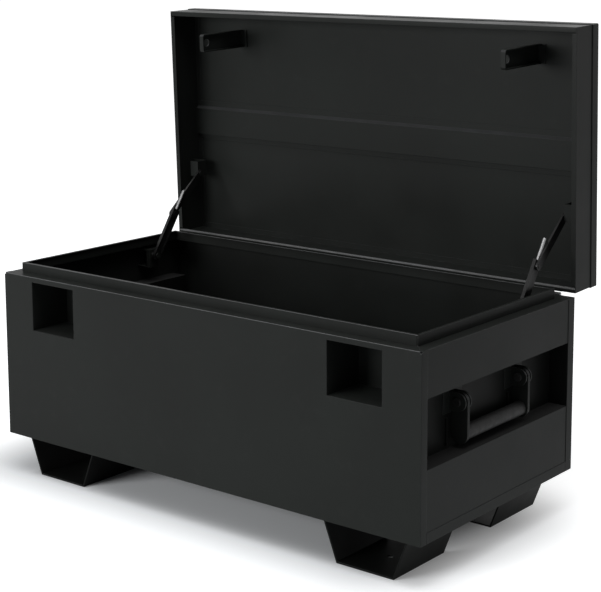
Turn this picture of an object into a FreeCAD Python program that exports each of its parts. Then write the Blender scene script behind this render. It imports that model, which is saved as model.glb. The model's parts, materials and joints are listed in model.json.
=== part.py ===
import FreeCAD, Part
import math
import os
import re
import Sketcher

# Steel site chest: a folded sheet body on channel feet, recessed ends with drop handles,
# padlock pockets in the front, and a pan lid held open by two folding stays.
# X runs across the front, Y to the rear, Z up. The origin is on the floor under the
# middle of the body. The lid stands open, as it does at rest.

# ---------------------------------------------------------------- driving sizes (mm)
SIZES = {
    # body shell
    "width": 1220, "depth": 600, "body_height": 399, "sheet": 2, "bend": 1.5,
    "front_return": 22, "rear_return": 26, "panel_step": 1, "end_strip": 23,
    "shoulder": 30, "rear_shoulder": 39, "neck_rise": 23, "neck_lap": 2, "neck_hem": 5,
    "corner_slit": 1.2, "corner_relief": 4,
    # recess in each end
    "recess_sill": 153, "recess_height": 146, "recess_depth": 48,
    # padlock pockets in the front
    "pocket_width": 140, "pocket_height": 117, "pocket_depth": 110,
    "pocket_drop": 12.5, "pocket_margin": 96, "slot_clearance": 8,
    # feet
    "feet_height": 97, "foot_base": 147, "foot_slant": 38, "foot_length": 183,
    "foot_margin": 83, "foot_setback": 25, "foot_sheet": 4, "foot_flange": 24,
    "anchor_hole": 14,
    # lid
    "lid_height": 95, "lid_gap": 1, "lid_step": 2, "lid_open": 88,
    "cover_flange": 27, "cover_bend": 3, "rim_lip": 12, "rim_bead": 6, "top_flange": 15,
    "stiffener_face": 76, "stiffener_flange": 14, "stiffener_rise": 10, "stiffener_slope": 6,
    # hinges
    "hinge_offset": 5, "hinge_length": 200, "hinge_leaf": 34, "hinge_margin": 40,
    "knuckle_radius": 4.8, "knuckle_gap": 0.5, "pin_radius": 3, "running_fit": 0.05,
    # lock hooks on the lid
    "hook_margin": 160, "hook_shift": 10, "hook_width": 12, "hook_depth": 45, "hook_reach": 52, "hook_drop": 66,
    "hook_sheet": 3, "hook_corner": 7, "hook_foot": 22, "shackle_hole": 20, "shackle_edge": 22,
    # drop handles
    "handle_span": 238, "handle_inset": 26, "handle_drop": 45, "handle_reach": 71,
    "arm_width": 40, "arm_thickness": 8, "grip_diameter": 32, "grip_wall": 2.5,
    "hub_radius": 13, "ear_radius": 20, "ear_thickness": 4, "ear_gap": 16, "hub_clearance": 0.5,
    "base_plate": 1.6, "base_width": 70, "base_height": 52, "bolt_radius": 5, "bolt_head": 9,
    "bolt_head_height": 5,
    "rib_offset": 23, "rib_sheet": 4, "rib_reach": 5, "rib_rise": 7, "rib_height": 60,
    # folding stays
    "stay_inset": 53, "stay_lid_reach": 163.8, "stay_lid_rise": 36.9,
    "stay_anchor_back": 146, "stay_anchor_drop": 25,
    "stay_arm_length": 144.7, "stay_arm_width": 20, "stay_arm_sheet": 5,
    "stay_knee_offset": 18.032, "stay_link_width": 24, "stay_link_depth": 8, "stay_link_sheet": 2,
    "stay_gap": 0.5, "stay_side_gap": 2.5, "stay_shoulder": 12, "stay_rod_radius": 4, "stay_rod_length": 55,
    "stay_pin": 4, "stay_cap": 7, "stay_cap_height": 2,
    "bracket_sheet": 3, "lid_bracket_length": 40, "lid_bracket_depth": 34, "lid_bracket_front": 26,
    "lid_bracket_lead": 8, "bracket_width": 40, "bracket_height": 47, "bracket_drop": 11, "bracket_lip": 12,
}

# Lengths that follow from these. The knee of the open stay stands off the line that runs from
# the pivot on the body to the pivot on the lid, which has turned with the lid about the hinge.
FOLLOWING = {
    "stay_lid_back": "hinge_offset + stay_lid_reach",
    "stay_lid_up": "lid_gap + stay_lid_rise",
    "stay_run": "stay_anchor_back - stay_lid_back * cos(lid_open) + stay_lid_up * sin(lid_open)",
    "stay_climb": "stay_anchor_drop + stay_lid_back * sin(lid_open) + stay_lid_up * cos(lid_open)",
    "stay_span": "sqrt(stay_run ^ 2 + stay_climb ^ 2)",
    "stay_knee_share": "stay_span - sqrt(stay_arm_length ^ 2 - stay_knee_offset ^ 2)",
    "stay_link_length": "sqrt(stay_knee_share ^ 2 + stay_knee_offset ^ 2)",
}

doc = FreeCAD.newDocument("SiteChest")
dims = doc.addObject("Spreadsheet::Sheet", "dims")
for row, (alias, size) in enumerate({**SIZES, **FOLLOWING}.items(), 1):
    dims.set("A%d" % row, alias)
    dims.set("B%d" % row, "=%s" % size)
    dims.setAlias("B%d" % row, alias)
doc.recompute()

# ---------------------------------------------------------------- places worked out from sizes
HALF_W = "(width / 2)"
HALF_D = "(depth / 2)"
BOTTOM = "feet_height"
TOP = "(feet_height + body_height)"
SILL = "(feet_height + recess_sill)"
HEAD = "(feet_height + recess_sill + recess_height)"
RECESS_MID = "((front_return - rear_return) / 2)"
POCKET_TOP = "(feet_height + body_height - pocket_drop)"
POCKET_FLOOR = "(feet_height + body_height - pocket_drop - pocket_height)"
POCKET_MID = "(width / 2 - pocket_margin - pocket_width / 2)"
HOOK_MID = "(width / 2 - hook_margin)"
HINGE_Y = "(depth / 2 + hinge_offset)"

# The lid's pieces are drawn closed in a frame on the hinge axis, then turned open.
RIM = "lid_gap"
LID_TOP = "(lid_gap + lid_height)"
LID_UNDER = "(lid_gap + lid_height - sheet)"
COVER_REAR = "(-hinge_offset)"
COVER_FRONT = "(-hinge_offset - depth)"
SKIRT_REAR = "(-hinge_offset - lid_step)"
SKIRT_FRONT = "(-hinge_offset - depth + lid_step)"
SKIRT_SIDE = "(width / 2 - lid_step)"
HOOK_FRONT = "(-hinge_offset - depth + hook_reach)"
HOOK_TIP = "(lid_gap - hook_drop)"

X_AXIS = FreeCAD.Vector(1, 0, 0)
TURN_TO_X = FreeCAD.Rotation(FreeCAD.Vector(0, 1, 0), 90)
TURN_TO_Y = FreeCAD.Rotation(X_AXIS, -90)
PLAIN = FreeCAD.Rotation()

pieces = {}


# ---------------------------------------------------------------- building blocks
def link(text):
    """Give each size name in an expression the sheet's prefix."""
    names = {**SIZES, **FOLLOWING}
    return re.sub(r"[a-z_]+", lambda word: "dims." + word[0] if word[0] in names else word[0], text)


def bind(thing, prop, text):
    thing.setExpression(prop, link(text))


def place(thing, corner, turn=PLAIN):
    """Put an object at a point whose three coordinates are expressions."""
    thing.Placement = FreeCAD.Placement(FreeCAD.Vector(), turn)
    for letter, text in zip("xyz", corner):
        bind(thing, ".Placement.Base." + letter, text)


def box(name, lengths, corner):
    block = doc.addObject("Part::Box", name)
    for prop, text in zip(("Length", "Width", "Height"), lengths):
        bind(block, prop, text)
    place(block, corner)
    return block


def cylinder(name, radius, length, start, turn=PLAIN):
    round_bar = doc.addObject("Part::Cylinder", name)
    bind(round_bar, "Radius", radius)
    bind(round_bar, "Height", length)
    place(round_bar, start, turn)
    return round_bar


def hexagon(name, radius, length, start, turn):
    prism = doc.addObject("Part::Prism", name)
    prism.Polygon = 6
    bind(prism, "Circumradius", radius)
    bind(prism, "Height", length)
    place(prism, start, turn)
    return prism


def fuse(name, *solids):
    whole = doc.addObject("Part::MultiFuse", name)
    whole.Shapes = list(solids)
    whole.Refine = True
    return whole


def cut(name, base, *tools):
    trimmed = doc.addObject("Part::Cut", name)
    trimmed.Base = base
    trimmed.Tool = tools[0] if len(tools) == 1 else fuse(name + "_tools", *tools)
    trimmed.Refine = True
    return trimmed


def mirror(name, source):
    """The left-hand copy of a right-hand piece."""
    copy = doc.addObject("Part::Mirroring", name)
    copy.Source = source
    copy.Normal = X_AXIS
    return copy


def rounded(name, base, radius, picks):
    """Round the edges of a base for which picks(edge) is true."""
    doc.recompute()
    edges = [number for number, edge in enumerate(base.Shape.Edges, 1) if picks(edge)]
    fillet = doc.addObject("Part::Fillet", name)
    fillet.Base = base
    fillet.Edges = [(number, radius, radius) for number in edges]
    return fillet


def profile(name, plane, corners, length, start=("0", "0", "0"), side="One side"):
    """A prism from a closed outline drawn on one of the body's own origin planes."""
    body = doc.addObject("PartDesign::Body", name)
    sketch = body.newObject("Sketcher::SketchObject", name + "_outline")
    support = [feature for feature in body.Origin.OriginFeatures if feature.Role == plane]
    sketch.AttachmentSupport = (support[0], [""])
    sketch.MapMode = "FlatFace"
    count = len(corners)
    turn = 2 * math.pi / count
    rough = [FreeCAD.Vector(math.cos(turn * i), math.sin(turn * i), 0) for i in range(count)]
    for i in range(count):
        sketch.addGeometry(Part.LineSegment(rough[i], rough[(i + 1) % count]), False)
    for i in range(count):
        sketch.addConstraint(Sketcher.Constraint("Coincident", i, 2, (i + 1) % count, 1))
    for i, corner in enumerate(corners):
        for kind, text in zip(("DistanceX", "DistanceY"), corner):
            number = sketch.addConstraint(Sketcher.Constraint(kind, -1, 1, i, 1, 1.0))
            bind(sketch, "Constraints[%d]" % number, text)
    pad = body.newObject("PartDesign::Pad", name + "_pad")
    pad.Profile = sketch
    pad.Reversed = side == "Reversed"
    if side == "Symmetric":
        pad.SideType = side
    bind(pad, "Length", length)
    sketch.Visibility = False
    place(body, start)
    return body


def piece(label, thing):
    """Give a finished sub-part its name."""
    thing.Label = label
    pieces[label] = thing
    return thing


def hang_on_lid(thing):
    """Turn a piece drawn in the closed lid's frame to where the open lid holds it."""
    place(thing, ("0", HINGE_Y, TOP), FreeCAD.Rotation(X_AXIS, -SIZES["lid_open"]))
    bind(thing, ".Placement.Rotation.Angle", "-lid_open")
    return thing


def lid_piece(label, thing):
    return piece(label, hang_on_lid(thing))


def near(value, target):
    return abs(value - target) < 0.01


def along(edge, letter):
    """True for a straight edge parallel to an axis."""
    first, last = edge.Vertexes[0].Point, edge.Vertexes[-1].Point
    return all(near(getattr(first, other), getattr(last, other)) for other in "xyz" if other != letter)


# ---------------------------------------------------------------- body shell
def front_panel():
    """Front sheet with returns round both corners, a shoulder flange and pocket windows."""
    inner_x = "(width / 2 - sheet)"
    wall = profile("front_wall", "XY_Plane", [
        ("-" + HALF_W, "0"), (HALF_W, "0"), (HALF_W, "front_return"), (inner_x, "front_return"),
        (inner_x, "sheet"), ("-" + inner_x, "sheet"), ("-" + inner_x, "front_return"),
        ("-" + HALF_W, "front_return")], "body_height", ("0", "-" + HALF_D, BOTTOM))
    flange = profile("front_shoulder", "XY_Plane", [
        ("-" + HALF_W, "0"), (HALF_W, "0"), ("(width / 2 - shoulder)", "shoulder"),
        ("(shoulder - width / 2)", "shoulder")],
        "sheet", ("0", "-" + HALF_D, TOP + " - sheet"))
    folded = fuse("front_folded", wall, flange)
    half_w, front, top = SIZES["width"] / 2, -SIZES["depth"] / 2, SIZES["feet_height"] + SIZES["body_height"]
    eased = rounded("front_eased", folded, SIZES["bend"], lambda edge: (
        near(edge.CenterOfMass.y, front) and (
            along(edge, "z") and near(abs(edge.CenterOfMass.x), half_w)
            or along(edge, "x") and near(edge.CenterOfMass.z, top))))
    windows = [box("window_%s" % side, ("pocket_width", "3 * sheet", "pocket_height"),
                   ("%s * %s - pocket_width / 2" % (sign, POCKET_MID), "-%s - sheet" % HALF_D, POCKET_FLOOR))
               for side, sign in (("left", "-1"), ("right", "1"))]
    reliefs = [box("corner_relief_" + side, ("2 * corner_relief", "corner_relief", "2 * corner_relief"),
                   (corner, "-" + HALF_D, TOP + " - corner_relief"))
               for side, corner in (("left", "-width / 2 - corner_relief"), ("right", "width / 2 - corner_relief"))]
    piece("front_panel", cut("front_panel_cut", eased, *windows, *reliefs))


def rear_panel():
    """Rear sheet with its returns and the wider shoulder that carries the hinges."""
    inner_x = "(width / 2 - sheet)"
    wall = profile("rear_wall", "XY_Plane", [
        ("-" + HALF_W, "0"), ("-" + HALF_W, "-rear_return"), ("-" + inner_x, "-rear_return"),
        ("-" + inner_x, "-sheet"), (inner_x, "-sheet"), (inner_x, "-rear_return"),
        (HALF_W, "-rear_return"), (HALF_W, "0")], "body_height", ("0", HALF_D, BOTTOM))
    flange = profile("rear_shoulder_flange", "XY_Plane", [
        ("-" + HALF_W, "0"), ("(shoulder - width / 2)", "-rear_shoulder"),
        ("(width / 2 - shoulder)", "-rear_shoulder"), (HALF_W, "0")],
        "sheet", ("0", HALF_D, TOP + " - sheet"))
    folded = fuse("rear_folded", wall, flange)
    half_w, rear = SIZES["width"] / 2, SIZES["depth"] / 2
    piece("rear_panel", rounded("rear_eased", folded, SIZES["bend"], lambda edge: (
        along(edge, "z") and near(abs(edge.CenterOfMass.x), half_w) and near(edge.CenterOfMass.y, rear))))


def end_panels():
    """Two sheets at each end, above and below the handle recess, stepped in from the returns."""
    face = "(width / 2 - panel_step)"
    length = "(depth - front_return - rear_return)"
    start_y = "(front_return - depth / 2)"
    upper = box("right_upper_sheet", ("sheet", length, TOP + " - " + HEAD),
                (face + " - sheet", start_y, HEAD))
    inner = "(width / 2 - sheet)"
    flange = profile("right_shoulder", "XY_Plane", [
        (face, start_y), (face, "(depth / 2 - rear_return)"), (inner, "(depth / 2 - rear_return)"),
        (inner, "(depth / 2 - sheet * rear_shoulder / shoulder)"),
        ("(width / 2 - shoulder)", "(depth / 2 - rear_shoulder)"),
        ("(width / 2 - shoulder)", "(shoulder - depth / 2)"), (inner, "(sheet - depth / 2)"),
        (inner, start_y)], "sheet", ("0", "0", TOP + " - sheet"))
    face_x, top = SIZES["width"] / 2 - SIZES["panel_step"], SIZES["feet_height"] + SIZES["body_height"]
    eased = rounded("right_upper_eased", fuse("right_upper_end", upper, flange), SIZES["bend"], lambda edge: (
        along(edge, "y") and near(edge.CenterOfMass.x, face_x) and near(edge.CenterOfMass.z, top)))
    piece("right_upper_end_panel", eased)
    piece("left_upper_end_panel", mirror("left_upper_end", pieces["right_upper_end_panel"]))
    lower = box("right_lower_sheet", ("sheet", length, "recess_sill - end_strip"),
                (face + " - sheet", start_y, BOTTOM + " + end_strip"))
    piece("right_lower_end_panel", lower)
    piece("left_lower_end_panel", mirror("left_lower_end", lower))


def floor_pan():
    """Floor sheet between the panels, its ends folded up into the strips under the end panels."""
    sheet = box("floor_sheet", ("width - 2 * sheet", "depth - 2 * sheet", "sheet"),
                ("sheet - width / 2", "sheet - depth / 2", BOTTOM))
    strip_length = "(depth - front_return - rear_return)"
    strips = [box("floor_strip_%s" % side, ("2 * sheet", strip_length, "end_strip"),
                  (corner, "front_return - depth / 2", BOTTOM))
              for side, corner in (("left", "-width / 2"), ("right", "width / 2 - 2 * sheet"))]
    room = [box("floor_room_%s" % side, ("sheet", strip_length, "end_strip"),
                (corner, "front_return - depth / 2", BOTTOM + " + sheet"))
            for side, corner in (("left", "sheet - width / 2"), ("right", "width / 2 - 2 * sheet"))]
    piece("floor_pan", cut("floor_pan_cut", fuse("floor_folded", sheet, *strips), *room))


def coaming():
    """The neck round the mouth that the closed lid covers, with a hem turned inward on top."""
    length = "(width - 2 * shoulder)"
    breadth = "(depth - shoulder - rear_shoulder)"
    start = ("shoulder - width / 2", "shoulder - depth / 2", TOP + " - neck_lap")
    ring = box("neck_block", (length, breadth, "neck_lap + neck_rise"), start)
    cavity = box("neck_cavity", (length + " - 2 * sheet", breadth + " - 2 * sheet", "neck_lap + neck_rise - sheet"),
                 ("shoulder + sheet - width / 2", "shoulder + sheet - depth / 2", TOP + " - neck_lap"))
    inset = "(sheet + neck_hem)"
    mouth = box("neck_mouth", (length + " - 2 * " + inset, breadth + " - 2 * " + inset, "neck_lap + 2 * neck_rise"),
                ("shoulder - width / 2 + " + inset, "shoulder - depth / 2 + " + inset, TOP + " - neck_lap"))
    slits = [box("neck_slit_" + side, ("corner_slit", "depth", "neck_rise - sheet - corner_slit"),
                 (corner, "-" + HALF_D, TOP + " + corner_slit"))
             for side, corner in (("left", "shoulder + sheet - width / 2"),
                                  ("right", "width / 2 - shoulder - sheet - corner_slit"))]
    piece("coaming", cut("coaming_cut", ring, cavity, mouth, *slits))


def handle_pans():
    """The sunk pan behind each end's opening, with an upright rib beside each handle bracket."""
    back = "(width / 2 - recess_depth)"
    opening = "(depth - front_return - rear_return)"
    shell = box("right_pan_block", ("recess_depth - panel_step", opening + " + 2 * sheet", "recess_height + 2 * sheet"),
                (back + " - sheet", "front_return - sheet - depth / 2", SILL + " - sheet"))
    hollow = box("right_pan_hollow", ("recess_depth", opening, "recess_height"),
                 (back, "front_return - depth / 2", SILL))
    ribs = [box("pan_rib_" + end, ("rib_reach + sheet / 2", "rib_sheet", "rib_height"),
                (back + " - sheet / 2", "%s %s handle_span / 2 - rib_offset - rib_sheet / 2" % (RECESS_MID, sign),
                 SILL + " + rib_rise"))
            for end, sign in (("front", "-"), ("rear", "+"))]
    piece("right_handle_pan", fuse("right_pan_ribbed", cut("right_pan_cut", shell, hollow), *ribs))
    piece("left_handle_pan", mirror("left_pan", pieces["right_handle_pan"]))


def padlock_pockets():
    """A box behind each front window. The lid's hook comes down through the slot in its top."""
    for side, sign in (("left", "-1"), ("right", "1")):
        middle = "%s * %s" % (sign, POCKET_MID)
        shell = box("pocket_block_" + side, ("pocket_width + 2 * sheet", "pocket_depth", "pocket_height + 2 * sheet"),
                    (middle + " - pocket_width / 2 - sheet", "sheet - depth / 2", POCKET_FLOOR + " - sheet"))
        hollow = box("pocket_hollow_" + side, ("pocket_width", "pocket_depth - sheet", "pocket_height"),
                     (middle + " - pocket_width / 2", "sheet - depth / 2", POCKET_FLOOR))
        hook_middle = "%s * %s + hook_shift" % (sign, HOOK_MID)
        slot = box("pocket_slot_" + side,
                   ("hook_width + 2 * slot_clearance", "hook_depth + 2 * slot_clearance", "3 * sheet"),
                   (hook_middle + " - hook_width / 2 - slot_clearance",
                    "hook_reach - slot_clearance - depth / 2 - 2 * sheet", POCKET_TOP + " - sheet"))
        piece(side + "_padlock_pocket", cut("pocket_cut_" + side, shell, hollow, slot))


def feet():
    """Four trapezoid channels, open at both ends, with flanges turned in under the floor."""
    base = "(foot_base / 2)"
    crown = "(foot_base / 2 + foot_slant)"
    low_in = "(foot_base / 2 + foot_slant * foot_sheet / feet_height - foot_sheet)"
    high_in = "(foot_base / 2 + foot_slant * (feet_height - foot_sheet) / feet_height - foot_sheet)"
    lip_in = "(foot_base / 2 + foot_slant - foot_flange)"
    under = "(feet_height - foot_sheet)"
    half = [(base, "0"), (crown, "feet_height"), (lip_in, "feet_height"), (lip_in, under),
            (high_in, under), (low_in, "foot_sheet")]
    outline = half + [("-" + x, z) for x, z in reversed(half)]
    across = "(width / 2 - foot_margin - foot_base / 2)"
    for end, start_y in (("front", "foot_setback - depth / 2"), ("rear", "depth / 2 - foot_setback - foot_length")):
        for side, sign in (("left", "-1"), ("right", "1")):
            name = "%s_%s" % (end, side)
            middle = "%s * %s" % (sign, across)
            channel = profile("channel_" + name, "XZ_Plane", outline, "foot_length", (middle, start_y, "0"), "Reversed")
            hole = cylinder("foot_hole_" + name, "anchor_hole / 2", "3 * foot_sheet",
                            (middle, start_y + " + foot_length / 2", "-foot_sheet"))
            piece(name + "_foot", cut("foot_" + name, channel, hole))


# ---------------------------------------------------------------- lid
def lid_shell():
    """Cover pan over four stepped-in skirts that end in a rim lip, and the stiffener across it."""
    block = box("cover_block", ("width", "depth", "cover_flange"),
                ("-width / 2", COVER_FRONT, LID_TOP + " - cover_flange"))
    top = SIZES["lid_gap"] + SIZES["lid_height"]
    eased = rounded("cover_eased", block, SIZES["cover_bend"], lambda edge: (
        near(edge.CenterOfMass.z, top) or along(edge, "z")))
    under = box("cover_under", ("width - 2 * sheet", "depth - 2 * sheet", "cover_flange"),
                ("sheet - width / 2", COVER_FRONT + " + sheet", LID_TOP + " - cover_flange - sheet"))
    lid_piece("lid_cover", cut("lid_cover_cut", eased, under))

    def channel(outer, inward, lip):
        """C outline of a skirt: rim lip, wall and top flange, from its outer face inward."""
        at = lambda step: "(%s %s %s)" % (outer, inward, step)
        return [(at("0"), RIM), (at("0"), LID_UNDER), (at("top_flange"), LID_UNDER),
                (at("top_flange"), LID_UNDER + " - sheet"), (at("sheet"), LID_UNDER + " - sheet"),
                (at("sheet"), RIM + " + sheet"), (at(lip), RIM + " + sheet"), (at(lip), RIM)]

    run = "(width - 2 * lid_step - 2 * sheet)"
    front = profile("front_skirt", "YZ_Plane", channel(SKIRT_FRONT, "+", "rim_lip"), run, side="Symmetric")
    lid_piece("lid_front_skirt", front)
    rear = profile("rear_skirt", "YZ_Plane", channel(SKIRT_REAR, "-", "rim_bead"), run, side="Symmetric")
    bead = cylinder("rim_bead_roll", "rim_bead", run,
                    ("-%s / 2" % run, SKIRT_REAR + " - rim_bead", RIM + " + rim_bead"), TURN_TO_X)
    lid_piece("lid_rear_skirt", fuse("rear_skirt_beaded", rear, bead))
    middle = "(-hinge_offset - depth / 2)"
    face, foot = "(stiffener_face / 2)", "(stiffener_face / 2 + stiffener_flange)"
    inner_x = "%s - sheet - 2 * top_flange" % SKIRT_SIDE
    side = profile("side_skirt_full", "XZ_Plane", channel(SKIRT_SIDE, "-", "rim_lip"), "(depth - 2 * lid_step)",
                   ("0", SKIRT_FRONT, "0"), "Reversed")
    notches = [box("side_corner_" + end, ("2 * top_flange", "top_flange", "2 * lid_height"),
                   (inner_x, start, RIM + " - sheet"))
               for end, start in (("front", SKIRT_FRONT), ("rear", SKIRT_REAR + " - top_flange"))]
    notches.append(box("side_stiffener_notch", ("2 * top_flange", "2 * " + foot, "4 * sheet"),
                       (inner_x, "%s - %s" % (middle, foot), LID_UNDER + " - 2 * sheet")))
    right = lid_piece("lid_right_skirt", cut("side_skirt_right", side, *notches))
    piece("lid_left_skirt", mirror("side_skirt_left", right))

    low = LID_UNDER + " - stiffener_rise"
    rear_face, front_face = "%s + %s" % (middle, face), "%s - %s" % (middle, face)
    flange = LID_UNDER + " - sheet"
    hat = [("%s + %s" % (middle, foot), LID_UNDER), ("%s + %s" % (middle, foot), flange), (rear_face, flange),
           (rear_face, low), (front_face + " + stiffener_slope", low), (front_face, flange),
           ("%s - %s" % (middle, foot), flange), ("%s - %s" % (middle, foot), LID_UNDER),
           (front_face + " + sheet", LID_UNDER), (front_face + " + stiffener_slope + sheet", low + " + sheet"),
           (rear_face + " - sheet", low + " + sheet"), (rear_face + " - sheet", LID_UNDER)]
    lid_piece("lid_stiffener", profile("stiffener_hat", "YZ_Plane", hat, run, side="Symmetric"))


def lock_hooks():
    """Dished hooks under the lid's front. Shutting the lid drops them into the pockets."""
    length = "(%s - %s)" % (LID_UNDER, HOOK_TIP)
    tip = SIZES["lid_gap"] - SIZES["hook_drop"]
    for side, sign in (("left", "-1"), ("right", "1")):
        left_face = "%s * %s + hook_shift - hook_width / 2" % (sign, HOOK_MID)
        block = box("hook_block_" + side, ("hook_width", "hook_depth", length), (left_face, HOOK_FRONT, HOOK_TIP))
        outer = rounded("hook_outer_" + side, block, SIZES["hook_corner"],
                        lambda edge: near(edge.CenterOfMass.z, tip) and along(edge, "x"))
        dish = box("hook_dish_" + side, ("hook_width", "hook_depth - 2 * hook_sheet", length),
                   (left_face + " + hook_sheet", HOOK_FRONT + " + hook_sheet", HOOK_TIP + " + hook_sheet"))
        inner = rounded("hook_inner_" + side, dish, SIZES["hook_corner"] - SIZES["hook_sheet"],
                        lambda edge: near(edge.CenterOfMass.z, tip + SIZES["hook_sheet"]) and along(edge, "x"))
        eye = cylinder("hook_eye_" + side, "shackle_hole / 2", "3 * hook_sheet",
                       (left_face + " - hook_sheet", HOOK_FRONT + " + hook_depth / 2", HOOK_TIP + " + shackle_edge"),
                       TURN_TO_X)
        shaft = cut("hook_shaft_" + side, outer, inner, eye)
        foot = box("hook_foot_" + side, ("hook_foot", "hook_depth", "hook_sheet"),
                   (left_face, HOOK_FRONT, LID_UNDER + " - hook_sheet"))
        lid_piece(side + "_lock_hook", fuse("hook_" + side, shaft, foot))


# ---------------------------------------------------------------- hinges
def hinges():
    """Three five-knuckle hinges: odd knuckles on the body's leaf, even ones on the lid's."""
    pitch = "(hinge_length / 5)"
    outer_mid = "(width / 2 - hinge_margin - hinge_length / 2)"
    pins = []
    for name, middle in (("left", "-1 * " + outer_mid), ("middle", "0"), ("right", outer_mid)):
        start = "(%s - hinge_length / 2)" % middle
        leaves = {"body": [], "lid": []}
        for number in range(5):
            owner = "body" if number % 2 == 0 else "lid"
            from_x = "%s + %d * %s + knuckle_gap / 2" % (start, number, pitch)
            run = pitch + " - knuckle_gap"
            leaves[owner].append(cylinder("knuckle_%s_%d" % (name, number), "knuckle_radius", run,
                                          (from_x, "0", "0"), TURN_TO_X))
            if owner == "body":
                tab = box("tab_%s_%d" % (name, number), (run, "sheet", "2 * knuckle_radius"),
                          (from_x, "-hinge_offset", "-2 * knuckle_radius"))
            else:
                tab = box("tab_%s_%d" % (name, number), (run, "lid_step + hinge_offset - pin_radius", "knuckle_radius"),
                          (from_x, SKIRT_REAR, "lid_gap + knuckle_gap"))
            leaves[owner].append(tab)
        clear = "(knuckle_radius + knuckle_gap)"
        leaves["body"].append(box("body_leaf_" + name, ("hinge_length", "sheet", "hinge_leaf - " + clear),
                                  (start, "-hinge_offset", "-hinge_leaf")))
        leaves["lid"].append(box("lid_leaf_" + name, ("hinge_length", "sheet", "hinge_leaf - " + clear),
                                 (start, SKIRT_REAR, clear)))
        for owner, label in (("body", "%s_hinge_body_leaf"), ("lid", "%s_hinge_lid_leaf")):
            bore = cylinder("bore_%s_%s" % (owner, name), "pin_radius + running_fit", "hinge_length + 2 * pin_radius",
                            (start + " - pin_radius", "0", "0"), TURN_TO_X)
            leaf = cut("%s_leaf_cut_%s" % (owner, name), fuse("%s_leaf_fuse_%s" % (owner, name), *leaves[owner]), bore)
            if owner == "lid":
                lid_piece(label % name, leaf)
            else:
                place(leaf, ("0", HINGE_Y, TOP))
                piece(label % name, leaf)
        pins.append(cylinder("hinge_pin_" + name, "pin_radius", "hinge_length", (start, HINGE_Y, TOP), TURN_TO_X))
    piece("hinge_pins", fuse("hinge_pin_set", *pins))


# ---------------------------------------------------------------- drop handles
def handles():
    """Right-hand handle, its two brackets and pivot bolts, then the left-hand copies."""
    pivot_x = "(width / 2 - handle_inset)"
    pivot_z = "(%s - handle_drop)" % HEAD
    wall_x = "(width / 2 - recess_depth)"
    hole = "(bolt_radius + running_fit)"
    bolts = []
    for end, sign in (("front", "-"), ("rear", "+")):
        arm_y = "(%s %s handle_span / 2)" % (RECESS_MID, sign)
        ears = "(ear_gap + 2 * ear_thickness)"
        ears_y = "%s - %s / 2" % (arm_y, ears)
        plate = box("base_plate_" + end, ("base_plate", "base_width", "base_height"),
                    (wall_x, arm_y + " - base_width / 2", pivot_z + " - base_height / 2"))
        stem = box("ear_stem_" + end, ("recess_depth - handle_inset", ears, "2 * ear_radius"),
                   (wall_x, ears_y, pivot_z + " - ear_radius"))
        nose = cylinder("ear_nose_" + end, "ear_radius", ears, (pivot_x, ears_y, pivot_z), TURN_TO_Y)
        fork = box("ear_fork_" + end, ("recess_depth", "ear_gap", "4 * ear_radius"),
                   (wall_x + " + base_plate", arm_y + " - ear_gap / 2", pivot_z + " - 2 * ear_radius"))
        bore = cylinder("ear_bore_" + end, hole, ears + " + 2 * ear_thickness",
                        (pivot_x, ears_y + " - ear_thickness", pivot_z), TURN_TO_Y)
        bracket = cut("bracket_cut_" + end, fuse("bracket_" + end, plate, stem, nose), fork, bore)
        piece("right_%s_handle_bracket" % end, bracket)
        piece("left_%s_handle_bracket" % end, mirror("left_bracket_" + end, bracket))

        side_y = arm_y + " - arm_thickness / 2"
        grip_z = pivot_z + " - handle_reach"
        strap = box("arm_strap_" + end, ("arm_width", "arm_thickness", "handle_reach"),
                    (pivot_x + " - arm_width / 2", side_y, grip_z))
        crown = cylinder("arm_crown_" + end, "arm_width / 2", "arm_thickness", (pivot_x, side_y, pivot_z), TURN_TO_Y)
        heel = cylinder("arm_heel_" + end, "arm_width / 2", "arm_thickness", (pivot_x, side_y, grip_z), TURN_TO_Y)
        hub_width = "(ear_gap - 2 * hub_clearance)"
        hub = cylinder("arm_hub_" + end, "hub_radius", hub_width, (pivot_x, "%s - %s / 2" % (arm_y, hub_width), pivot_z),
                       TURN_TO_Y)
        arm_bore = cylinder("arm_bore_" + end, hole, "2 * ear_gap", (pivot_x, arm_y + " - ear_gap", pivot_z), TURN_TO_Y)
        arm = cut("arm_cut_" + end, fuse("arm_" + end, strap, crown, heel, hub), arm_bore)
        piece("right_handle_%s_arm" % end, arm)
        piece("left_handle_%s_arm" % end, mirror("left_arm_" + end, arm))

        shank = cylinder("bolt_shank_" + end, "bolt_radius", ears, (pivot_x, ears_y, pivot_z), TURN_TO_Y)
        head = cylinder("bolt_head_" + end, "bolt_head", "bolt_head_height",
                        (pivot_x, ears_y + " - bolt_head_height", pivot_z), TURN_TO_Y)
        nut = hexagon("bolt_nut_" + end, "bolt_head", "bolt_head_height",
                      (pivot_x, "%s + %s / 2" % (arm_y, ears), pivot_z), TURN_TO_Y)
        bolts.append(fuse("pivot_bolt_" + end, shank, head, nut))
    both = doc.addObject("Part::Compound", "right_pivot_bolts")
    both.Links = bolts
    piece("right_handle_bolts", both)
    piece("left_handle_bolts", mirror("left_pivot_bolts", both))

    reach = "(handle_span - arm_thickness)"
    start = (pivot_x, "%s - %s / 2" % (RECESS_MID, reach), pivot_z + " - handle_reach")
    tube = cylinder("grip_tube", "grip_diameter / 2", reach, start, TURN_TO_Y)
    core = cylinder("grip_core", "grip_diameter / 2 - grip_wall", reach, start, TURN_TO_Y)
    grip = cut("grip_cut", tube, core)
    piece("right_handle_grip", grip)
    piece("left_handle_grip", mirror("left_grip", grip))


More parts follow.
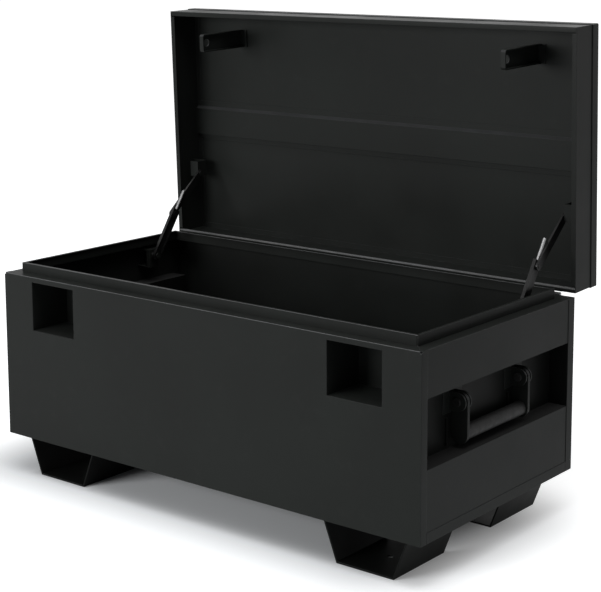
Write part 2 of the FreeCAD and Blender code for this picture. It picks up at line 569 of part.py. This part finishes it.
# ---------------------------------------------------------------- folding stays
def open_stay():
    """Lid pivot, anchor and knee of the open stay, as (y, z) from the hinge axis."""
    run, climb, span, share, aside = map(dims.get, ("stay_run", "stay_climb", "stay_span", "stay_knee_share",
                                                    "stay_knee_offset"))
    anchor_y, anchor_z = -SIZES["stay_anchor_back"], -SIZES["stay_anchor_drop"]
    knee_y = anchor_y + (share * run - aside * climb) / span
    knee_z = anchor_z + (share * climb + aside * run) / span
    return (anchor_y + run, anchor_z + climb), (anchor_y, anchor_z), (knee_y, knee_z)


def lean(start, end):
    """Placement at a start point that turns a piece drawn upwards toward an end point."""
    hinge_y = SIZES["depth"] / 2 + SIZES["hinge_offset"]
    hinge_z = SIZES["feet_height"] + SIZES["body_height"]
    angle = math.degrees(math.atan2(start[0] - end[0], end[1] - start[1]))
    return FreeCAD.Placement(FreeCAD.Vector(0, hinge_y + start[0], hinge_z + start[1]), FreeCAD.Rotation(X_AXIS, angle))


def stays():
    """Right-hand arm, link and rod, drawn upright from their first pivots, then the left-hand copies."""
    pivot, anchor, knee = open_stay()
    middle = "(width / 2 - stay_inset)"
    arm_in = middle + " - stay_arm_sheet / 2"
    arm = [box("arm_bar", ("stay_arm_sheet", "stay_arm_width", "stay_arm_length"), (arm_in, "-stay_arm_width / 2", "0")),
           cylinder("arm_foot_end", "stay_arm_width / 2", "stay_arm_sheet", (arm_in, "0", "0"), TURN_TO_X),
           cylinder("arm_knee_end", "stay_arm_width / 2", "stay_arm_sheet", (arm_in, "0", "stay_arm_length"), TURN_TO_X),
           cylinder("arm_knee_rivet", "stay_cap - 1", "stay_cap_height / 2 + stay_arm_sheet",
                    (arm_in, "0", "stay_arm_length"), TURN_TO_X)]
    arm_hole = cylinder("arm_pivot_hole", "stay_pin + running_fit", "3 * stay_arm_sheet",
                        (arm_in + " - stay_arm_sheet", "0", "0"), TURN_TO_X)
    arm = cut("stay_arm_cut", fuse("stay_arm_fuse", *arm), arm_hole)
    arm.Placement = lean(pivot, knee)

    link_out = "(%s - stay_arm_sheet / 2 - stay_gap)" % middle
    link_in = "(%s - stay_link_depth)" % link_out
    block = box("link_block", ("stay_link_depth", "stay_link_width", "stay_link_length + stay_shoulder"),
                (link_in, "-stay_link_width / 2", "0"))
    end = cylinder("link_foot_end", "stay_link_width / 2", "stay_link_depth", (link_in, "0", "0"), TURN_TO_X)
    rivet = cylinder("link_knee_rivet", "stay_cap", "stay_cap_height + stay_link_sheet",
                     (link_in + " - stay_cap_height", "0", "stay_link_length"), TURN_TO_X)
    room = box("link_room", ("stay_link_depth", "stay_link_width - 2 * stay_link_sheet",
                             "stay_link_length - 2 * stay_shoulder"),
               (link_in + " - stay_link_sheet", "stay_link_sheet - stay_link_width / 2", "stay_shoulder"))
    link_hole = cylinder("link_pivot_hole", "stay_pin + running_fit", "3 * stay_link_depth",
                         (link_in + " - stay_link_depth", "0", "0"), TURN_TO_X)
    link = cut("stay_link_cut", fuse("stay_link_fuse", block, end, rivet), room, link_hole)
    link.Placement = lean(anchor, knee)
    rod = cylinder("stay_rod_bar", "stay_rod_radius", "stay_rod_length",
                   ("(%s + %s) / 2" % (link_in, link_out), "0", "stay_link_length + stay_shoulder"))
    tip = cylinder("stay_rod_tip", "stay_rod_radius - 1", "stay_rod_length + 1",
                   ("(%s + %s) / 2" % (link_in, link_out), "0", "stay_link_length + stay_shoulder"))
    rod = fuse("stay_rod_whole", rod, tip)
    rod.Placement = lean(anchor, knee)
    for name, thing in (("stay_arm", arm), ("stay_link", link), ("stay_rod", rod)):
        piece("right_" + name, thing)
        piece("left_" + name, mirror("left_%s_copy" % name, thing))


def stay_brackets():
    """The bracket and pin on the lid's skirt, and the bracket and pin under the neck."""
    lid_y, lid_z = "(-hinge_offset - stay_lid_reach)", "(lid_gap + stay_lid_rise)"
    middle = "(width / 2 - stay_inset)"
    face_x = "(%s + stay_arm_sheet / 2 + stay_gap)" % middle
    low_z = "(%s - 2 * bracket_sheet)" % lid_z
    far_y = "(%s + lid_bracket_lead - lid_bracket_length)" % lid_y
    block = box("lid_bracket_block", (SKIRT_SIDE + " - sheet - " + face_x, "lid_bracket_length", "lid_bracket_depth"),
                (face_x, far_y, low_z))
    throat = box("lid_bracket_throat", ("stay_inset", "3 * lid_bracket_length", "lid_bracket_depth - 2 * bracket_sheet"),
                 (face_x + " + bracket_sheet", far_y + " - lid_bracket_length", low_z + " + bracket_sheet"))
    window = box("lid_bracket_window", ("stay_inset", "3 * lid_bracket_length", "2 * bracket_sheet"),
                 (face_x + " + lid_bracket_front", far_y + " - lid_bracket_length", low_z + " - bracket_sheet"))
    inner_end = "(%s - stay_arm_sheet / 2 - stay_gap)" % middle
    pin = cylinder("lid_pin", "stay_pin", "%s + bracket_sheet - %s" % (face_x, inner_end),
                   (inner_end, lid_y, lid_z), TURN_TO_X)
    cap = cylinder("lid_pin_cap", "stay_cap", "stay_cap_height",
                   (inner_end + " - stay_cap_height", lid_y, lid_z), TURN_TO_X)
    bracket = fuse("lid_bracket", cut("lid_bracket_cut", block, throat, window), pin, cap)
    lid_piece("right_stay_lid_bracket", bracket)
    piece("left_stay_lid_bracket", mirror("lid_bracket_left", bracket))

    anchor_y, anchor_z = HINGE_Y + " - stay_anchor_back", TOP + " - stay_anchor_drop"
    panel_x = "(width / 2 - panel_step - sheet)"
    web_x = "(%s + stay_side_gap)" % face_x
    low_y = "(%s - bracket_width / 3)" % anchor_y
    low_z = "(%s - bracket_drop - bracket_height)" % TOP
    outer = box("bracket_block", (panel_x + " - " + web_x, "bracket_width", "bracket_height"), (web_x, low_y, low_z))
    inside = box("bracket_room", ("stay_inset", "bracket_width", "bracket_height - 2 * bracket_sheet"),
                 (web_x + " + bracket_sheet", low_y + " + bracket_sheet", low_z + " + bracket_sheet"))
    window = box("bracket_window", ("stay_inset", "bracket_width", "bracket_height - 2 * bracket_sheet"),
                 (web_x + " + bracket_lip", low_y + " - bracket_width / 2", low_z + " + bracket_sheet"))
    link_out = "(%s - stay_arm_sheet / 2 - stay_gap)" % middle
    pin_end = "(%s - stay_link_depth - stay_gap)" % link_out
    spacer = cylinder("anchor_spacer", "stay_cap", "%s - %s - stay_gap" % (web_x, link_out),
                      (link_out + " + stay_gap", anchor_y, anchor_z), TURN_TO_X)
    pin = cylinder("anchor_pin", "stay_pin", "%s - %s" % (web_x, pin_end), (pin_end, anchor_y, anchor_z), TURN_TO_X)
    cap = cylinder("anchor_cap", "stay_cap", "stay_cap_height",
                   (pin_end + " - stay_cap_height", anchor_y, anchor_z), TURN_TO_X)
    bracket = fuse("stay_bracket", cut("bracket_cut", outer, inside, window), spacer, pin, cap)
    piece("right_stay_bracket", bracket)
    piece("left_stay_bracket", mirror("bracket_left", bracket))


# ---------------------------------------------------------------- build and write
front_panel()
rear_panel()
end_panels()
floor_pan()
coaming()
handle_pans()
padlock_pockets()
feet()
lid_shell()
lock_hooks()
hinges()
handles()
stays()
stay_brackets()
doc.recompute()

for thing in doc.Objects:
    if "Invalid" in thing.State or "Error" in thing.State:
        raise RuntimeError("%s: %s" % (thing.Name, thing.State))
os.makedirs("parts", exist_ok=True)
for label, thing in pieces.items():
    if thing.Shape.isNull() or not thing.Shape.isValid():
        raise RuntimeError("bad shape: " + label)
    thing.Shape.exportStep("parts/%s.step" % label)
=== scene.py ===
import json
import math

import bpy
from mathutils import Matrix, Vector

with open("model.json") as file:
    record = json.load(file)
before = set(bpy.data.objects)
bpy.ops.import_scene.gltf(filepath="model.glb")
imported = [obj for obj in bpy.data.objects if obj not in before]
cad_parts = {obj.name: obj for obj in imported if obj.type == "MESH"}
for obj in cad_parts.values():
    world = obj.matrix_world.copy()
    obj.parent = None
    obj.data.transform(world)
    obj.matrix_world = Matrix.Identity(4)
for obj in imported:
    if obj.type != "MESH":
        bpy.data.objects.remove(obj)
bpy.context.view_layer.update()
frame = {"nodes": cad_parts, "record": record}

scene = bpy.context.scene
nodes = frame["nodes"]

# Lengths are in metres, lamp powers in watts, and tones are linear.


# ---------------------------------------------------------------- materials
class Graph:
    """A small helper that adds and links shader nodes of one material."""

    def __init__(self, name):
        self.material = bpy.data.materials.new(name)
        self.material.use_nodes = True
        self.tree = self.material.node_tree
        self.tree.nodes.clear()
        self.output = self.add("ShaderNodeOutputMaterial")
        self.coord = self.add("ShaderNodeTexCoord")

    def add(self, kind, **values):
        node = self.tree.nodes.new(kind)
        for key, value in values.items():
            setattr(node, key, value)
        return node

    def link(self, source, target):
        self.tree.links.new(source, target)

    def noise(self, scale, detail=3.0, stretch=None):
        node = self.add("ShaderNodeTexNoise")
        node.inputs["Scale"].default_value = scale
        node.inputs["Detail"].default_value = detail
        place = self.coord.outputs["Object"]
        if stretch:
            mapping = self.add("ShaderNodeMapping")
            mapping.inputs["Scale"].default_value = stretch
            self.link(place, mapping.inputs["Vector"])
            place = mapping.outputs["Vector"]
        self.link(place, node.inputs["Vector"])
        return node.outputs["Fac"]

    def ramp(self, source, low, high, start=0.3, end=0.7):
        """Colour low where the source is start, turning to high where it is end."""
        node = self.add("ShaderNodeValToRGB")
        first, last = node.color_ramp.elements
        first.position, last.position = start, end
        first.color, last.color = (*low, 1.0), (*high, 1.0)
        self.link(source, node.inputs["Fac"])
        return node.outputs["Color"]

    def spread(self, source, low, high, start=0.3, end=0.7, **values):
        """Value low where the source is start, turning to high where it is end."""
        node = self.add("ShaderNodeMapRange", **values)
        node.inputs["From Min"].default_value = start
        node.inputs["From Max"].default_value = end
        node.inputs["To Min"].default_value = low
        node.inputs["To Max"].default_value = high
        self.link(source, node.inputs["Value"])
        return node.outputs["Result"]

    def combine(self, operation, first, second):
        node = self.add("ShaderNodeMath", operation=operation)
        self.link(first, node.inputs[0])
        self.link(second, node.inputs[1])
        return node.outputs[0]

    def product(self, first, second):
        return self.combine("MULTIPLY", first, second)

    def parts_of(self, output):
        """The X, Y and Z of one of the texture coordinates."""
        node = self.add("ShaderNodeSeparateXYZ")
        self.link(self.coord.outputs[output], node.inputs["Vector"])
        return node.outputs

    def mix(self, factor, first, second):
        node = self.add("ShaderNodeMix", data_type="RGBA")
        self.link(factor, node.inputs["Factor"])
        self.link(first, node.inputs["A"])
        self.link(second, node.inputs["B"])
        return node.outputs["Result"]

    def bump(self, source, distance, strength, after=None):
        node = self.add("ShaderNodeBump")
        node.inputs["Distance"].default_value = distance
        node.inputs["Strength"].default_value = strength
        self.link(source, node.inputs["Height"])
        if after is not None:
            self.link(after, node.inputs["Normal"])
        return node.outputs["Normal"]

    def principled(self, color, roughness, normal, **fixed):
        shader = self.add("ShaderNodeBsdfPrincipled")
        self.link(color, shader.inputs["Base Color"])
        self.link(roughness, shader.inputs["Roughness"])
        self.link(normal, shader.inputs["Normal"])
        for key, value in fixed.items():
            shader.inputs[key.replace("_", " ")].default_value = value
        self.link(shader.outputs["BSDF"], self.output.inputs["Surface"])
        return self.material


def grey(tone):
    return [tone] * 3


def painted_edge_highlights(g, above):
    """Mask of painted highlights: 1 on folded edges that face up, mostly at the front, and a trace on
    the upright corners, where the light glints.

    Where above is given, the folds below that height get no painted highlight.
    """
    normal = g.parts_of("Normal")
    rise = g.spread(normal["Z"], 0.0, 1.0, 0.22, 0.4)
    flat = g.spread(normal["Z"], 1.0, 0.0, 0.86, 0.97)
    front = g.spread(normal["Y"], 1.0, 0.25, -0.35, 0.1)
    # noise that breaks up the painted highlight along the edges
    highlight_breakup = g.spread(g.noise(24.0, 4.0), 0.7, 1.0)
    lips = g.product(g.product(rise, flat), g.product(front, highlight_breakup))
    if above:
        height = g.parts_of("Object")["Z"]
        lips = g.product(lips, g.spread(height, 0.0, 1.0, above, above + 0.01))
    # painted highlight: a faint trace on the upright corners
    across = g.product(normal["X"], normal["X"])
    along = g.product(normal["Y"], normal["Y"])
    corners = g.spread(g.product(across, along), 0.0, 0.12, 0.06, 0.2)
    return g.combine("MAXIMUM", lips, corners)


def powder_coat(name, tone, roughness, specular, highlight_tone, painted_ledge_light_tone=None, highlight_above=None):
    """Black powder coat: fine orange peel, faint clouding, dust, and a painted highlight in dull grey on
    the folded edges that face up.

    Where a ledge tone is given, the level faces take that lighter tone as painted light.
    """
    g = Graph(name)
    cloud = g.noise(2.2, 4.0)
    base = g.ramp(cloud, [tone * 0.86, tone * 0.92, tone * 0.87],
                  [tone * 1.04, tone * 1.17, tone * 1.08])
    specks = g.ramp(g.noise(38.0, 6.0), grey(0.0), grey(0.16), 0.58, 0.8)
    speck_color = g.ramp(cloud, grey(tone * 1.9), grey(tone * 2.3))
    # the grey of the painted highlight on the folded edges
    edge = g.ramp(cloud, grey(highlight_tone * 0.9),
                  [highlight_tone, highlight_tone * 1.05, highlight_tone * 1.1])
    color = g.mix(painted_edge_highlights(g, highlight_above), g.mix(specks, base, speck_color), edge)
    if painted_ledge_light_tone:
        # painted light: the level faces, such as the ledge in the handle pans, are lightened as if lit
        lit_level_face = g.spread(g.parts_of("Normal")["Z"], 0.0, 1.0, 0.9, 0.99)
        color = g.mix(lit_level_face, color, g.ramp(cloud, grey(painted_ledge_light_tone * 0.9), grey(painted_ledge_light_tone * 1.1)))
    rough = g.spread(g.noise(9.0, 5.0), roughness - 0.05, roughness + 0.07)
    peel = g.bump(g.noise(520.0, 2.0), 0.00012, 0.35)
    flow = g.bump(g.noise(60.0, 2.0), 0.0004, 0.12, peel)
    return g.principled(color, rough, flow, Specular_IOR_Level=specular)


def stay_paint(name, tone):
    """Glossy black paint of the stays' arms and links."""
    g = Graph(name)
    base = g.ramp(g.noise(18.0, 4.0), grey(tone * 0.8), grey(tone * 1.25))
    rough = g.spread(g.noise(40.0, 4.0), 0.26, 0.4)
    peel = g.bump(g.noise(420.0, 2.0), 0.0001, 0.25)
    return g.principled(base, rough, peel, Specular_IOR_Level=0.2)


def brushed_steel(name, tone, low_roughness, high_roughness):
    """Bare or zinc-plated steel with fine brushing."""
    g = Graph(name)
    brushed = g.noise(160.0, 3.0, (1.0, 6.0, 6.0))
    base = g.ramp(brushed, grey(tone * 0.82), [tone, tone, tone * 1.02])
    rough = g.spread(g.noise(70.0, 4.0), low_roughness, high_roughness)
    return g.principled(base, rough, g.bump(brushed, 0.00008, 0.3), Metallic=1.0)


def rubber(name, tone):
    g = Graph(name)
    base = g.ramp(g.noise(26.0, 4.0), grey(tone * 0.8), grey(tone * 1.3))
    rough = g.spread(g.noise(90.0, 4.0), 0.5, 0.68)
    grain = g.bump(g.noise(300.0, 3.0), 0.0002, 0.4)
    return g.principled(base, rough, grain, Specular_IOR_Level=0.22)


COAT = {"tone": 0.014, "roughness": 0.36, "specular": 0.048}
# a darker copy of the coat for the feet and the handle pans: painted shade for these recessed pieces
SHADED_COAT = {"tone": 0.005, "roughness": 0.46, "specular": 0.045, "highlight_tone": 0.04}
finishes = {
    "powder_coat": powder_coat("black_powder_coat", **COAT, highlight_tone=0.12),
    # the front panel gets the painted edge highlight only on its top fold
    "front_coat": powder_coat("black_front_coat", **COAT, highlight_tone=0.12, highlight_above=0.47),
    "inner_coat": powder_coat("black_coat_painted_shade", **SHADED_COAT),
    # the handle pans: painted shade in the darker coat, with painted light on their ledges
    "recess_coat": powder_coat("black_recess_coat_painted_shade_and_light", **SHADED_COAT, painted_ledge_light_tone=0.025),
    "fitting_coat": powder_coat("black_fitting_coat", **COAT, highlight_tone=0.035),
    "stay_paint": stay_paint("black_stay_paint", 0.005),
    "bright_steel": brushed_steel("polished_rod_steel", 0.24, 0.3, 0.4),
    "zinc_steel": brushed_steel("dark_zinc_steel", 0.06, 0.34, 0.5),
    "grip_rubber": rubber("black_grip_rubber", 0.0065),
}
# The pieces whose finish isn't named after their material slot.
LOOKS = {
    # the feet take the darker coat as painted shade
    "inner_coat": ("front_left_foot", "front_right_foot", "rear_left_foot", "rear_right_foot"),
    "front_coat": ("front_panel",),
    "recess_coat": ("left_handle_pan", "right_handle_pan"),
    "fitting_coat": ("lid_stiffener", "left_lock_hook", "right_lock_hook", "left_padlock_pocket",
                     "right_padlock_pocket", "left_stay_bracket", "right_stay_bracket",
                     "left_stay_lid_bracket", "right_stay_lid_bracket"),
}
look_of = {node: look for look, group in LOOKS.items() for node in group}
for entry in frame["record"]["subparts"]:
    thing = nodes[entry["node"]]
    thing.data.materials.clear()
    thing.data.materials.append(finishes[look_of.get(entry["node"], entry["material_slot"])])

# ---------------------------------------------------------------- folded edges catch the light
WELD_DISTANCE = 0.000002
EDGE_WIDTH = 0.0006
WIDER_EDGES = {"coaming": 0.00095, "front_panel": 0.0009, "lid_cover": 0.0009, "lid_front_skirt": 0.0009}
EDGE_SEGMENTS = 2
EDGE_ANGLE = math.radians(40)
for name, thing in nodes.items():
    # The faces come in without shared corners, and a bevel only takes edges that are joined.
    weld = thing.modifiers.new("weld", "WELD")
    weld.merge_threshold = WELD_DISTANCE
    edge = thing.modifiers.new("edge", "BEVEL")
    edge.width = WIDER_EDGES.get(name, EDGE_WIDTH)
    edge.segments = EDGE_SEGMENTS
    edge.limit_method = "ANGLE"
    edge.angle_limit = EDGE_ANGLE
    flow = thing.modifiers.new("flow", "WEIGHTED_NORMAL")
    flow.weight = 100
    flow.mode = "FACE_AREA_WITH_ANGLE"


# ---------------------------------------------------------------- stage and light
def sees_backdrop(tree):
    """1 for a camera, glossy or transmission ray, and 0 for any other."""
    path = tree.nodes.new("ShaderNodeLightPath")
    level = path.outputs["Is Camera Ray"]
    for kind in ("Is Glossy Ray", "Is Transmission Ray"):
        either = tree.nodes.new("ShaderNodeMath")
        either.operation = "MAXIMUM"
        tree.links.new(level, either.inputs[0])
        tree.links.new(path.outputs[kind], either.inputs[1])
        level = either.outputs[0]
    return level


FLOOR_SIZE = 60
FLOOR_HEIGHT = -0.0005
FLOOR_TONES = (0.82, 0.84, 0.86), (0.84, 0.86, 0.88)
SHADE_MIDDLE = (-0.08, -0.06, 0.0)  # middle of the patch under the part that keeps its full shadow
SHADE_HALF = (0.5, 0.15, 0.0)  # half the patch's size
NEAR_GLOW, NEAR_REACH = 0.8, 0.38  # the floor turns paler over this distance from the patch
FAR_GLOW, FAR_START, FAR_END = 0.2, 0.9, 3.6  # and from there to the white of the backdrop


def studio_floor():
    """Pale floor. It keeps the shadow near the part and turns to the white backdrop further out."""
    g = Graph("studio_floor")
    diffuse = g.add("ShaderNodeBsdfDiffuse")
    g.link(g.ramp(g.noise(1.5, 2.0), *FLOOR_TONES), diffuse.inputs["Color"])

    def vector(operation, source, value=None):
        node = g.add("ShaderNodeVectorMath", operation=operation)
        g.link(source, node.inputs[0])
        if value is not None:
            node.inputs[1].default_value = value
        return node.outputs

    centred = vector("SUBTRACT", g.coord.outputs["Object"], SHADE_MIDDLE)["Vector"]
    side = vector("ABSOLUTE", centred)["Vector"]
    past = vector("SUBTRACT", side, SHADE_HALF)["Vector"]
    clear = vector("MAXIMUM", past, (0.0, 0.0, 0.0))["Vector"]
    away = vector("LENGTH", clear)["Value"]
    near_part = g.spread(away, 0.0, NEAR_GLOW, 0.0, NEAR_REACH, interpolation_type="SMOOTHSTEP")
    far_part = g.spread(away, 0.0, FAR_GLOW, FAR_START, FAR_END)
    level = g.product(g.combine("ADD", near_part, far_part), sees_backdrop(g.tree))
    glow = g.add("ShaderNodeEmission")
    g.link(level, glow.inputs["Strength"])
    both = g.add("ShaderNodeAddShader")
    g.link(diffuse.outputs[0], both.inputs[0])
    g.link(glow.outputs[0], both.inputs[1])
    g.link(both.outputs[0], g.output.inputs["Surface"])
    return g.material


bpy.ops.mesh.primitive_plane_add(size=FLOOR_SIZE, location=(0, 0, FLOOR_HEIGHT))
floor = bpy.context.object
floor.name = "studio_floor"
floor.data.materials.append(studio_floor())

WORLD_LIGHT, WORLD_BACKDROP = 0.12, 1.0
world = bpy.data.worlds.new("studio_world")
scene.world = world
world.use_nodes = True
tree = world.node_tree
tree.nodes.clear()
back = tree.nodes.new("ShaderNodeBackground")
back.inputs["Color"].default_value = (1, 1, 1, 1)
lift = tree.nodes.new("ShaderNodeMapRange")
lift.inputs["To Min"].default_value = WORLD_LIGHT
lift.inputs["To Max"].default_value = WORLD_BACKDROP
out = tree.nodes.new("ShaderNodeOutputWorld")
tree.links.new(sees_backdrop(tree), lift.inputs["Value"])
tree.links.new(lift.outputs["Result"], back.inputs["Strength"])
tree.links.new(back.outputs[0], out.inputs["Surface"])

LAMPS = (  # name, place, the point that it faces, width and height, power
    ("key", (-2.6, -1.0, 3.9), (0, -0.2, 0.5), (1.1, 0.9), 22),
    ("top", (0.8, -0.9, 4.2), (0.2, -0.1, 0.2), (3.2, 2.6), 88),
    ("fill", (-1.4, -4.0, 1.45), (0, 0, 0.7), (2.2, 1.3), 124),
)
for name, place, target, size, power in LAMPS:
    lamp = bpy.data.lights.new(name, "AREA")
    lamp.shape = "RECTANGLE"
    lamp.size, lamp.size_y = size
    lamp.energy = power
    softbox = bpy.data.objects.new(name, lamp)
    scene.collection.objects.link(softbox)
    softbox.location = place
    softbox.rotation_euler = (Vector(target) - Vector(place)).to_track_quat("-Z", "Y").to_euler()

# ---------------------------------------------------------------- camera
PICTURE_WIDTH_PX = 601
FOCAL_PX = 1581.9
SHIFT_PX = (-49.6, -110.0)
SENSOR_WIDTH_MM = 36.0
CAMERA_PLACE = (2.3084, -2.7556, 1.2898)
azimuth, elevation, roll = map(math.radians, (37.35, 8.91, 0.06))
lens = bpy.data.cameras.new("camera")
lens.sensor_fit = "HORIZONTAL"
lens.sensor_width = SENSOR_WIDTH_MM
lens.lens = FOCAL_PX * SENSOR_WIDTH_MM / PICTURE_WIDTH_PX
lens.shift_x, lens.shift_y = (shift / PICTURE_WIDTH_PX for shift in SHIFT_PX)
camera = bpy.data.objects.new("camera", lens)
scene.collection.objects.link(camera)
backward = Vector((math.sin(azimuth) * math.cos(elevation),
                   -math.cos(azimuth) * math.cos(elevation), math.sin(elevation)))
right = Vector((0, 0, 1)).cross(backward).normalized()
upward = backward.cross(right)
turned = math.cos(roll) * right + math.sin(roll) * upward
risen = math.cos(roll) * upward - math.sin(roll) * right
pose = Matrix((turned, risen, backward)).transposed().to_4x4()
pose.translation = CAMERA_PLACE
camera.matrix_world = pose
scene.camera = camera
scene.view_settings.view_transform = "Standard"
